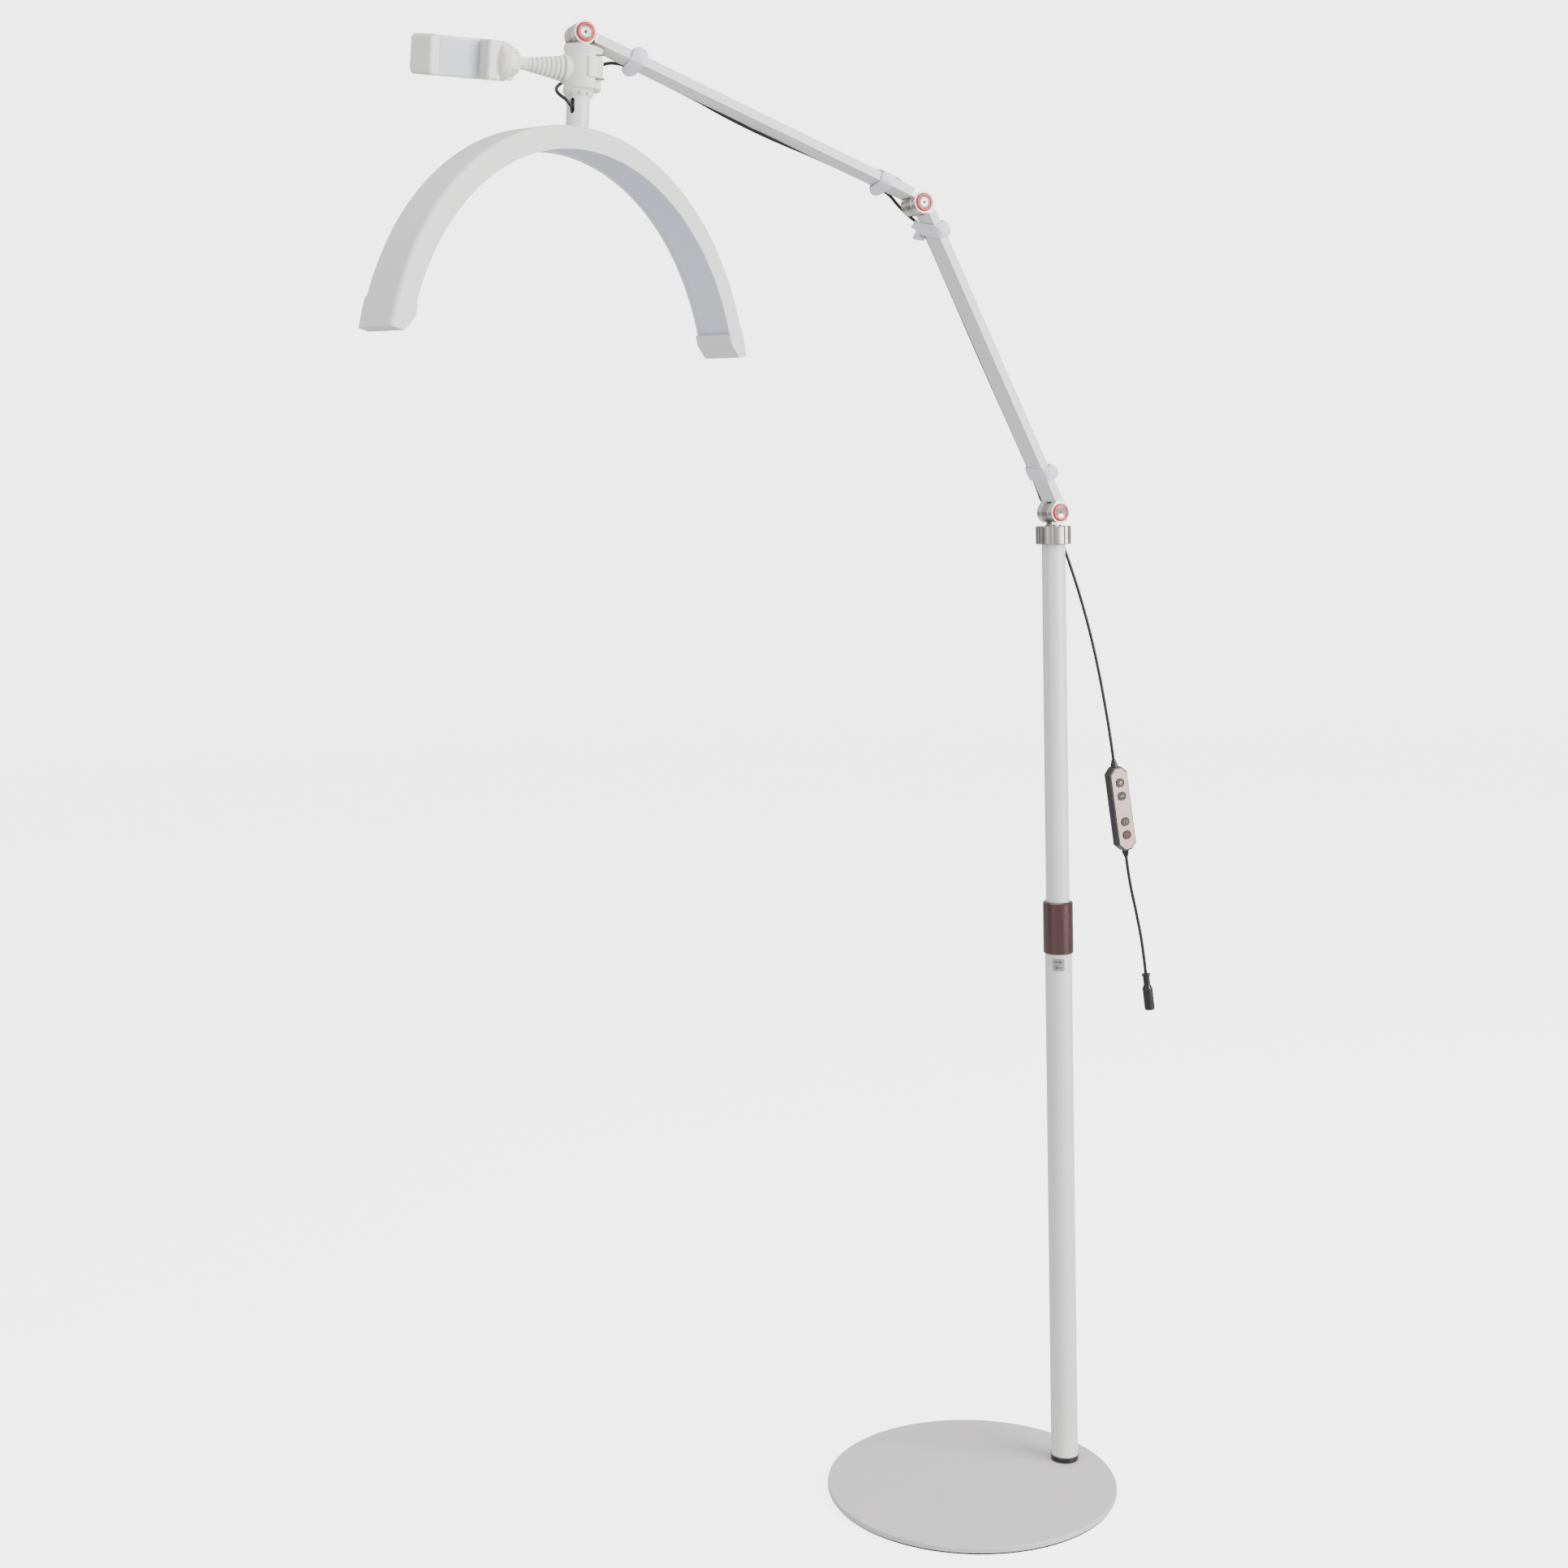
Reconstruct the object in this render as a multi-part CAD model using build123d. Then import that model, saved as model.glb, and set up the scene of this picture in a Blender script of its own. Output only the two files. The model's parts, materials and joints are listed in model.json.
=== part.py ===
"""Half-moon salon lamp on a telescopic floor stand with a folding arm and a phone holder.

Millimetres. The origin is the centre of the round base on the floor, +Z is up, the folding arm
reaches towards -X, and -Y is the side that the joint screws face.
"""
from build123d import *
import os
from math import cos, pi, radians, sin, tan

os.makedirs("parts", exist_ok=True)

# ---- Stand -------------------------------------------------------------------------------
BASE_RADIUS = 170.0
PAD_THICKNESS = 2.0
PLATE_THICKNESS = 6.0
POLE_X = 130.0
FOOT_RING_HEIGHT = 6.5
LOWER_TUBE_RADIUS = 16.0
UPPER_TUBE_RADIUS = 14.0
TUBE_WALL = 1.2
LOWER_TUBE_TOP = 650.0
COLLAR_BOTTOM = 623.5
COLLAR_TOP = 685.5
COLLAR_RADIUS = 18.0
UPPER_TUBE_BOTTOM = 500.0
UPPER_TUBE_TOP = 1113.0
KNOB_BOTTOM = 1113.3
KNOB_TOP = 1135.0
KNOB_RADIUS = 21.0
KNOB_LOBES = 7
RUNNING_GAP = 0.08

# ---- Folding arm -------------------------------------------------------------------------
SHOULDER_Z = 1151.2
LOWER_ARM_LENGTH = 401.0
LOWER_ARM_LEAN = 26.5
UPPER_ARM_LENGTH = 441.0
UPPER_ARM_LEAN = 68.1
ARM_THICKNESS = 10.0
ARM_WIDTH = 30.4
ARM_OFFSET = 6.0
KNUCKLE_RADIUS = 12.4
TONGUE_HALF = 6.4
WASHER_INNER = 6.55
CHEEK_INNER = 7.4
CHEEK_OUTER = 16.5
BOLT_RADIUS = 3.95
LOWER_REACH = 14.5
ELBOW_REACH = 15.5
WRIST_REACH = 15.2
STRAP_WIDTH = 15.0
CABLE_RADIUS = 1.9
CABLE_SIDE = ARM_WIDTH / 2 + CABLE_RADIUS + 0.1
CABLE_INSET = 2.4

# ---- Lamp head ---------------------------------------------------------------------------
STEM_LEAN = 3.1
STEM_RADIUS = 12.5
STEM_TOP = 18.0
ARCH_TOP = 102.0
ARCH_RADIUS = 286.0
ARCH_DEPTH = 25.0
ARCH_WIDTH = 48.0
ARCH_TURN = 27.8
ARCH_LEAN = 2.0
CHANNEL_HALF_ANGLE = 74.2
CAP_START = 72.0
CAP_END = 78.4
CAP_PROUD = 1.5

# ---- Phone holder ------------------------------------------------------------------------
SLEEVE_RADIUS = 20.0
SLEEVE_SHIFT = (3.6, -1.7)
FLAP_HINGE = (17.02, -13.3)
NECK_DROP = 38.5
NECK_REACH = 81.6
BALL_RADIUS = 9.0
CLIP_YAW = 14.0
CLIP_PITCH = 11.0
CLIP_HALF_WIDTH = 20.7

# ---- Free lead ---------------------------------------------------------------------------
CONTROL_LENGTH = 103.0
CONTROL_WIDTH = 25.0
CONTROL_DEPTH = 14.0
CONTROL_LEAN = -8.0
CONTROL_CENTRE = (222.0, 3.0, 790.0)
RELIEF_LENGTH = 8.5
BUTTON_PLACES = {"plus_button": 32.3, "minus_button": 15.8, "mode_button": -15.9,
                 "power_button": -32.3}

LEAD_START = Vector(149, 24.5, 1136)
LEAD_UPPER = [(156.5, 23.5, 1116), (166, 20.5, 1088), (177, 16, 1050),
              (188, 11.5, 1005), (197.3, 7.5, 957), (204.8, 4.6, 910)]
LEAD_LOWER = [(236.5, 2, 690), (244, 0.5, 655), (250, -1.5, 620), (253.5, -2.5, 585)]


# ---- Small helpers -----------------------------------------------------------------------
def block(x, y, z):
    """A box between three (low, high) pairs."""
    box = Box(x[1] - x[0], y[1] - y[0], z[1] - z[0], align=(Align.MIN, Align.MIN, Align.MIN))
    return Pos(x[0], y[0], z[0]) * box


def rod(radius, low, high):
    """A cylinder along Z."""
    return Pos(0, 0, low) * Cylinder(radius, high - low, align=(Align.CENTER, Align.CENTER, Align.MIN))


def ring(outer, inner, low, high):
    """A tube along Z."""
    return rod(outer, low, high) - rod(inner, low - 1, high + 1)


def along_y(solid):
    """Turns a solid built along Z so that it lies along Y."""
    return Rot(-90, 0, 0) * solid


def along_x(solid):
    """Turns a solid built along Z so that it lies along X."""
    return Rot(0, 90, 0) * solid


def prism(outline, low, high):
    """A flat outline in the XZ plane, made solid between two Y values."""
    return Pos(0, high, 0) * extrude(Plane.XZ * outline, high - low)


def turned(points):
    """A solid turned about Z from (radius, z) points."""
    profile = make_face(Plane.XZ * Polyline(*points, close=True))
    return revolve(profile, Axis.Z, 360)


def turned_x(points):
    """A solid turned about X from (x, radius) points."""
    profile = make_face(Plane.XY * Polyline(*points, close=True))
    return revolve(profile, Axis.X, 360)


def write(name, *solids):
    """Writes one node; several solids are separate pieces of the same kind."""
    shape = solids[0] if len(solids) == 1 else Compound(children=list(solids))
    export_step(shape, f"parts/{name}.step")


def route(points, radius, name):
    """A round cord of straight runs joined by the largest tangent arcs that they leave room for."""
    nodes = [Vector(*p) for p in points]
    radii = []
    for before, here, after in zip(nodes, nodes[1:], nodes[2:]):
        run = min((here - before).length, (after - here).length)
        half_turn = (here - before).get_angle(after - here) / 2
        radii.append(0.45 * run / tan(radians(half_turn)))
    line = FilletPolyline(*nodes, radius=radii) if radii else Line(*nodes)
    start = Plane(origin=line @ 0, z_dir=line % 0)
    cord = sweep(start * Circle(radius), path=line)
    ideal = pi * radius * radius * line.length
    print(f"{name}: length {line.length:.1f}, volume/ideal {cord.volume / ideal:.4f}, radii",
          [round(r, 1) for r in radii])
    return cord


# ---- Frames of the assembly --------------------------------------------------------------
def lean_frame(pivot, lean):
    """Z along a bar that leans from vertical towards -X, X on its upper side, Y unchanged."""
    a = radians(lean)
    return Plane(origin=pivot, x_dir=(cos(a), 0, sin(a)), z_dir=(-sin(a), 0, cos(a)))


def place(frame, solid):
    return frame.location * solid


def point_in(frame, point):
    """A point of a local frame, in the row frame."""
    return frame.from_local_coords(Vector(*point))


SHOULDER = Vector(POLE_X, 0, SHOULDER_Z)
LOWER_ARM = lean_frame(SHOULDER, LOWER_ARM_LEAN)
ELBOW = SHOULDER + LOWER_ARM.z_dir * LOWER_ARM_LENGTH
UPPER_LINE = lean_frame(ELBOW, UPPER_ARM_LEAN)
WRIST = ELBOW + UPPER_LINE.z_dir * UPPER_ARM_LENGTH
LOWER_ARM_END = lean_frame(ELBOW, LOWER_ARM_LEAN)
bar_slope = ARM_OFFSET / UPPER_ARM_LENGTH * 180 / pi
UPPER_BAR = lean_frame(ELBOW + UPPER_LINE.x_dir * ARM_OFFSET, UPPER_ARM_LEAN + bar_slope)
POLE = Plane(origin=(POLE_X, 0, 0))
HEAD = Plane(origin=WRIST, x_dir=(cos(radians(STEM_LEAN)), 0, -sin(radians(STEM_LEAN))),
             z_dir=(sin(radians(STEM_LEAN)), 0, cos(radians(STEM_LEAN))))

turn, lean = radians(ARCH_TURN), radians(ARCH_LEAN)
across = HEAD.x_dir * cos(turn) + HEAD.y_dir * sin(turn)
ARCH = Plane(origin=WRIST - HEAD.z_dir * (ARCH_TOP + ARCH_RADIUS),
             x_dir=across * cos(lean) + HEAD.z_dir * sin(lean),
             z_dir=HEAD.z_dir * cos(lean) - across * sin(lean))

BALL = point_in(HEAD, (-NECK_REACH, 0, -NECK_DROP))
NECK = Plane(origin=BALL, x_dir=-HEAD.x_dir, z_dir=HEAD.z_dir)
clip_axis = Vector(-cos(radians(CLIP_YAW)), -sin(radians(CLIP_YAW)), -0.03).normalized()
clip_up = (Vector(0, 0, 1) - clip_axis * clip_axis.Z).normalized()
clip_front = clip_up.cross(clip_axis)
clip_up = clip_up * cos(radians(CLIP_PITCH)) + clip_front * sin(radians(CLIP_PITCH))
CLIP = Plane(origin=BALL, x_dir=clip_axis, z_dir=clip_up)
CONTROL = lean_frame(Vector(*CONTROL_CENTRE), -CONTROL_LEAN)


# ---- Stand -------------------------------------------------------------------------------
def stand():
    plate_top = PAD_THICKNESS + PLATE_THICKNESS
    pole_hole = Pos(POLE_X, 0, 0)
    pad = rod(BASE_RADIUS - 2, 0, PAD_THICKNESS) - pole_hole * rod(12, -1, PAD_THICKNESS + 1)
    write("base_pad", pad)
    plate = rod(BASE_RADIUS, PAD_THICKNESS, plate_top)
    plate = fillet(plate.edges().filter_by(GeomType.CIRCLE), 1.2)
    plate -= pole_hole * (rod(5.2, 0, plate_top + 1) + rod(11, PAD_THICKNESS - 1, 5.2))
    write("base_plate", plate)
    bolt = rod(10, 2.3, 5.2) + rod(4.95, 5.2, 33)
    bolt -= extrude(Pos(0, 0, 2.3) * RegularPolygon(4, 6), 2)
    write("base_bolt", place(POLE, bolt))
    tube_bottom = plate_top + FOOT_RING_HEIGHT
    bore = LOWER_TUBE_RADIUS - TUBE_WALL
    plug = rod(bore, plate_top, 45) - rod(5.0, plate_top - 1, 35)
    write("pole_plug", place(POLE, plug))
    foot = ring(LOWER_TUBE_RADIUS + 0.5, bore, plate_top, tube_bottom)
    foot -= ring(LOWER_TUBE_RADIUS + 2, LOWER_TUBE_RADIUS - 0.1, plate_top + 2.8, plate_top + 3.7)
    write("foot_ring", place(POLE, foot))
    write("lower_tube", place(POLE, ring(LOWER_TUBE_RADIUS, bore, tube_bottom, LOWER_TUBE_TOP)))

    collet_bore = UPPER_TUBE_RADIUS + 0.06
    collet = ring(LOWER_TUBE_RADIUS - 0.1, collet_bore, LOWER_TUBE_TOP, 681)
    collet += ring(bore, collet_bore, LOWER_TUBE_TOP - 30, LOWER_TUBE_TOP)
    for k in range(4):
        collet -= Rot(0, 0, 90 * k + 45) * block((8, 20), (-0.8, 0.8), (658, 682))
    write("collet", place(POLE, collet))
    collar = rod(COLLAR_RADIUS, COLLAR_BOTTOM, COLLAR_TOP)
    collar = chamfer(collar.edges().group_by(Axis.Z)[-1], 1.6)
    collar = fillet(collar.edges().group_by(Axis.Z)[0], 1.4)
    collar -= rod(LOWER_TUBE_RADIUS + RUNNING_GAP, COLLAR_BOTTOM - 1, 681.4)
    collar -= rod(UPPER_TUBE_RADIUS + 0.35, 680, COLLAR_TOP + 1)
    write("height_collar", place(POLE, collar))


def mast():
    bore = UPPER_TUBE_RADIUS - TUBE_WALL
    tube = ring(UPPER_TUBE_RADIUS, bore, UPPER_TUBE_BOTTOM, UPPER_TUBE_TOP)
    guide_radius = LOWER_TUBE_RADIUS - TUBE_WALL - RUNNING_GAP
    tube += ring(guide_radius, bore, UPPER_TUBE_BOTTOM, UPPER_TUBE_BOTTOM + 20)
    write("upper_tube", place(POLE, tube))
    socket = rod(bore, 1030, UPPER_TUBE_TOP) + rod(9.5, UPPER_TUBE_TOP, 1133)
    socket -= rod(6.06, 1029, 1134)
    for k in range(3):
        socket -= Rot(0, 0, 120 * k) * block((0, 12), (-0.6, 0.6), (1118, 1134))
    write("mast_socket", place(POLE, socket))
    knob = rod(KNOB_RADIUS, KNOB_BOTTOM, KNOB_TOP)
    knob = chamfer(knob.edges().filter_by(GeomType.CIRCLE), 0.8)
    for k in range(KNOB_LOBES):
        groove = Pos(KNOB_RADIUS + 6.9, 0, 0) * rod(8, KNOB_BOTTOM - 1, KNOB_TOP + 1)
        knob -= Rot(0, 0, 360 / KNOB_LOBES * (k + 0.5)) * groove
    knob -= rod(9.6, KNOB_BOTTOM - 1, KNOB_TOP + 1)
    write("swivel_knob", place(POLE, knob))


# ---- Knuckles of the folding arm ---------------------------------------------------------
def tongue_disc():
    eye = along_y(rod(KNUCKLE_RADIUS, -TONGUE_HALF, TONGUE_HALF))
    return chamfer(eye.edges().filter_by(GeomType.CIRCLE), 0.5)


def tongue_bore():
    return along_y(rod(BOLT_RADIUS + RUNNING_GAP, -30, 30))


def tube_plug(offset, reach):
    half = ARM_THICKNESS / 2 - TUBE_WALL
    side = ARM_WIDTH / 2 - TUBE_WALL
    return block((offset - half, offset + half), (-side, side), (reach - 0.5, reach + 18))


def swivel_post():
    """Eye, split neck, flange over the knob and the pin that turns in the mast."""
    post = tongue_disc()
    post += block((-5.7, 5.7), (-TONGUE_HALF, TONGUE_HALF), (-14.5, 0))
    post += rod(9.5, -16.0, -14.4)
    post += rod(6.0, -90, -16.0)
    post -= block((-20, 20), (-0.8, 0.8), (-14.0, -9.0))
    post -= tongue_bore()
    write("swivel_post", place(Plane(origin=SHOULDER), post))


def fork(offset, reach):
    """Two teardrop cheeks, the bridge between them and the plug in the arm tube."""
    nose = Circle(KNUCKLE_RADIUS)
    heel = Pos(offset, reach - 0.5) * Rectangle(ARM_THICKNESS, 1)
    outline = make_hull((nose.edges() + heel.edges()))
    body = prism(outline, -CHEEK_OUTER, CHEEK_OUTER)
    body -= prism(Circle(KNUCKLE_RADIUS + 1.0), -CHEEK_INNER, CHEEK_INNER)
    body -= block((-40, 40), (-CHEEK_INNER, CHEEK_INNER), (-40, 0))
    body -= block((-40, offset - 5), (-CHEEK_INNER, CHEEK_INNER), (-40, reach + 1))
    body += tube_plug(offset, reach)
    return body - along_y(rod(BOLT_RADIUS + 0.05, -30, 30))


def washers():
    disc = ring(KNUCKLE_RADIUS - 0.4, BOLT_RADIUS + 0.05, WASHER_INNER, CHEEK_INNER)
    return along_y(disc), along_y(Rot(180, 0, 0) * disc)


def pivot_bolt():
    """Dished socket-head screw from the -Y side, with its round nut on the far side."""
    head = turned([(0, -CHEEK_OUTER), (9.8, -CHEEK_OUTER), (9.8, -CHEEK_OUTER - 1.1),
                   (7.0, -CHEEK_OUTER - 1.1), (3.6, -CHEEK_OUTER - 0.4), (0, -CHEEK_OUTER - 0.4)])
    screw = head + rod(BOLT_RADIUS, -CHEEK_OUTER, CHEEK_OUTER + 1.9)
    screw -= extrude(Pos(0, 0, -CHEEK_OUTER - 1) * RegularPolygon(2.2, 6), 3)
    nut = ring(9.0, BOLT_RADIUS, CHEEK_OUTER, CHEEK_OUTER + 2)
    return along_y(screw), along_y(nut)


def knuckle_hardware(name, frame):
    write(f"{name}_washers", *(place(frame, w) for w in washers()))
    write(f"{name}_bolt", *(place(frame, b) for b in pivot_bolt()))


def tongue(offset, reach):
    """Eye and the neck that leads to the arm tube."""
    half = ARM_THICKNESS / 2
    body = tongue_disc()
    body += block((offset - half, offset + half), (-TONGUE_HALF, TONGUE_HALF), (0, reach - 1))
    return body - tongue_bore()


def shoe(reach):
    """End plate of an arm tube with its plug."""
    half = ARM_THICKNESS / 2
    side = ARM_WIDTH / 2
    return block((-half, half), (-side, side), (reach - 2, reach)) + tube_plug(0, reach)


def flat_tube(start, end):
    """Rectangular tube between two Z values of the present frame."""
    half, side = ARM_THICKNESS / 2, ARM_WIDTH / 2
    shell = block((-half, half), (-side, side), (start, end))
    return shell - block((-half + TUBE_WALL, half - TUBE_WALL), (-side + TUBE_WALL, side - TUBE_WALL),
                         (start - 1, end + 1))


def strap(offset, middle):
    """Loop of a soft tie round the tube and the cable beside it."""
    half, side = ARM_THICKNESS / 2, ARM_WIDTH / 2
    low, high = middle - STRAP_WIDTH / 2, middle + STRAP_WIDTH / 2
    loop = block((offset - half - 3.2, offset + half + 1.2), (-side - 1.2, side + 6.6), (low, high))
    return loop - block((offset - half - 2, offset + half), (-side, side + 5.4), (low - 1, high + 1))


def arm_cable(offset, start, end, sag):
    """The cable along the far side of an arm, near its lower edge."""
    x = offset - CABLE_INSET
    middle = (start + end) / 2
    points = [(x, CABLE_SIDE, start), (x, CABLE_SIDE, start + 60), (x - sag, CABLE_SIDE, middle - 25),
              (x - sag, CABLE_SIDE, middle + 35), (x, CABLE_SIDE, end - 60), (x, CABLE_SIDE, end)]
    return route(points, CABLE_RADIUS, "arm cable")


LOWER_STRAPS = (50.0, LOWER_ARM_LENGTH - 35.0)
UPPER_STRAPS = (50.0, UPPER_ARM_LENGTH - 67.0)
LOWER_CABLE = (62.0, LOWER_ARM_LENGTH - 52.0)
UPPER_CABLE = (62.0, UPPER_ARM_LENGTH - 80.0)


def arms():
    write("shoulder_fork", place(LOWER_ARM, fork(ARM_OFFSET, LOWER_REACH)))
    knuckle_hardware("shoulder", LOWER_ARM)
    tube = Pos(ARM_OFFSET, 0, 0) * flat_tube(LOWER_REACH, LOWER_ARM_LENGTH - LOWER_REACH)
    write("lower_arm_tube", place(LOWER_ARM, tube))
    elbow_fork = mirror(fork(ARM_OFFSET, LOWER_REACH), Plane.XY)
    write("elbow_fork", place(LOWER_ARM_END, elbow_fork))
    knuckle_hardware("elbow", LOWER_ARM_END)
    write("lower_arm_straps", *(place(LOWER_ARM, strap(ARM_OFFSET, z)) for z in LOWER_STRAPS))
    write("lower_arm_cable", place(LOWER_ARM, arm_cable(ARM_OFFSET, *LOWER_CABLE, sag=0.6)))

    elbow_end = place(UPPER_LINE, tongue(ARM_OFFSET, ELBOW_REACH)) + place(UPPER_BAR, shoe(ELBOW_REACH))
    write("elbow_tongue", elbow_end)
    write("upper_arm_tube", place(UPPER_BAR, flat_tube(ELBOW_REACH, UPPER_ARM_LENGTH - WRIST_REACH)))
    wrist_eye = mirror(tongue(0, WRIST_REACH), Plane.XY)
    wrist_shoe = Pos(0, 0, UPPER_ARM_LENGTH) * mirror(shoe(WRIST_REACH), Plane.XY)
    wrist_end = place(lean_frame(WRIST, UPPER_ARM_LEAN), wrist_eye) + place(UPPER_BAR, wrist_shoe)
    write("wrist_tongue", wrist_end)
    write("upper_arm_straps", *(place(UPPER_BAR, strap(0, z)) for z in UPPER_STRAPS))
    write("upper_arm_cable", place(UPPER_BAR, arm_cable(0, *UPPER_CABLE, sag=4.0)))


def crossing_cables():
    """The cable where it passes each knuckle on the far side, below the arm."""
    low_x = ARM_OFFSET - CABLE_INSET
    up_x = -CABLE_INSET
    straight = 28
    over_elbow = [point_in(UPPER_BAR, (up_x, CABLE_SIDE, UPPER_CABLE[0])),
                  point_in(UPPER_BAR, (up_x, CABLE_SIDE, UPPER_CABLE[0] - straight)),
                  point_in(UPPER_LINE, (-4.5, CABLE_SIDE + 5.4, 12)),
                  point_in(LOWER_ARM, (-4.0, CABLE_SIDE + 5.8, LOWER_ARM_LENGTH - 10)),
                  point_in(LOWER_ARM, (low_x, CABLE_SIDE + 1.0, LOWER_CABLE[1] + straight - 3)),
                  point_in(LOWER_ARM, (low_x, CABLE_SIDE, LOWER_CABLE[1]))]
    write("elbow_cable", route(over_elbow, CABLE_RADIUS, "elbow cable"))
    past_shoulder = [point_in(LOWER_ARM, (low_x, CABLE_SIDE, LOWER_CABLE[0])),
                     point_in(LOWER_ARM, (low_x, CABLE_SIDE, LOWER_CABLE[0] - straight)),
                     point_in(LOWER_ARM, (4.0, CABLE_SIDE + 5.4, 12)),
                     LEAD_START * 2 - Vector(*LEAD_UPPER[0]), LEAD_START]
    write("shoulder_cable", route(past_shoulder, CABLE_RADIUS, "shoulder cable"))
    into_stem = [point_in(UPPER_BAR, (up_x, CABLE_SIDE, UPPER_CABLE[1])),
                 point_in(UPPER_BAR, (up_x, CABLE_SIDE, UPPER_CABLE[1] + straight + 4))]
    into_stem += [point_in(HEAD, p) for p in
                  [(22, 24.5, -33), (5, 26.5, -40), (-12, 22, -49), (-22.5, 10.5, -57.5),
                   (-24.5, -3, -66), (-18.6, -12.8, -73), (-10.7, -9.0, -79), (-3.8, -3.2, -82)]]
    write("head_cable", route(into_stem, CABLE_RADIUS, "head cable"))


# ---- Lamp head ---------------------------------------------------------------------------
def head_fork():
    """Round cheeks, a narrow bridge and the spigot that the stem turns on."""
    body = along_y(rod(KNUCKLE_RADIUS, -CHEEK_OUTER, CHEEK_OUTER))
    body += block((-7, 7), (-10.5, 10.5), (-17.5, -6))
    body -= prism(Circle(KNUCKLE_RADIUS + 1.0), -CHEEK_INNER, CHEEK_INNER)
    body += rod(STEM_RADIUS - TUBE_WALL - RUNNING_GAP, -52, -17.4)
    body -= along_y(rod(BOLT_RADIUS + 0.05, -30, 30))
    write("head_fork", place(HEAD, body))
    knuckle_hardware("wrist", HEAD)


def arc_prism(section, half_angle):
    """A section in the YZ plane turned about Y, from minus to plus the half angle."""
    return revolve(Rot(0, -half_angle, 0) * section, Axis.Y, 2 * half_angle)


def bent_box(half_width, inner, outer, corner=0.0):
    """Section of the arch: a rectangle whose outer corners may be rounded."""
    height = outer - inner
    outline = Plane.YZ * (Pos(0, (inner + outer) / 2) * Rectangle(2 * half_width, height))
    if corner:
        outline = fillet(outline.vertices().group_by(Axis.Z)[-1], corner)
    return outline


def arch():
    inner = ARCH_RADIUS - ARCH_DEPTH
    half = ARCH_WIDTH / 2
    wall = 2.0
    shell = arc_prism(bent_box(half, inner, ARCH_RADIUS, 5), CHANNEL_HALF_ANGLE)
    hollow = arc_prism(bent_box(half - wall, inner - 5, ARCH_RADIUS - wall, 3.2), CHANNEL_HALF_ANGLE + 3)
    mount_hole = rod(3.2, ARCH_RADIUS - 5, ARCH_RADIUS + 5)
    hole_angle = Rot(0, ARCH_LEAN, 0)
    write("arch_channel", place(ARCH, shell - hollow - hole_angle * mount_hole))
    window = arc_prism(bent_box(half - wall, inner + 3, inner + 5), CHANNEL_HALF_ANGLE)
    write("diffuser", place(ARCH, window))
    strip = arc_prism(bent_box(6, ARCH_RADIUS - wall - 1.8, ARCH_RADIUS - wall), 70)
    strip -= hole_angle * rod(8, ARCH_RADIUS - 10, ARCH_RADIUS)
    write("led_strip", place(ARCH, strip))

    section = bent_box(half + CAP_PROUD, inner - CAP_PROUD, ARCH_RADIUS + CAP_PROUD, 6)
    cap = revolve(Rot(0, CAP_START, 0) * section, Axis.Y, CAP_END - CAP_START)
    cap -= arc_prism(bent_box(half, inner, ARCH_RADIUS, 5), CHANNEL_HALF_ANGLE)

    def polar(radius, angle):
        return radius * sin(radians(angle)), radius * cos(radians(angle))
    wedge = Polyline(polar(259.4, 74.5), polar(270.6, 78.4), polar(272, 80), polar(245, 80),
                     polar(245, 74.5), close=True)
    cap -= prism(make_face(wedge), -half - 5, half + 5)
    write("end_caps", place(ARCH, cap), place(ARCH, mirror(cap, Plane.YZ)))


def stem():
    tube = ring(STEM_RADIUS, STEM_RADIUS - TUBE_WALL, -ARCH_TOP - 3, -STEM_TOP)
    slot = Pos(0, 0, -78) * along_x(extrude(SlotOverall(17.0, 5.4), 20))
    tube -= Rot(0, 0, 220) * slot
    arch_outer = place(ARCH, along_y(rod(ARCH_RADIUS, -40, 40)))
    tube += rod(STEM_RADIUS - TUBE_WALL, -ARCH_TOP - 3, -89) - rod(2.6, -ARCH_TOP - 4, -92)
    write("stem_tube", place(HEAD, tube) - arch_outer)
    screw = rod(2.5, -ARCH_TOP - 2.2, -93) + rod(6.0, -ARCH_TOP - 4.6, -ARCH_TOP - 2.2)
    write("stem_screw", place(HEAD, screw))


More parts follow.
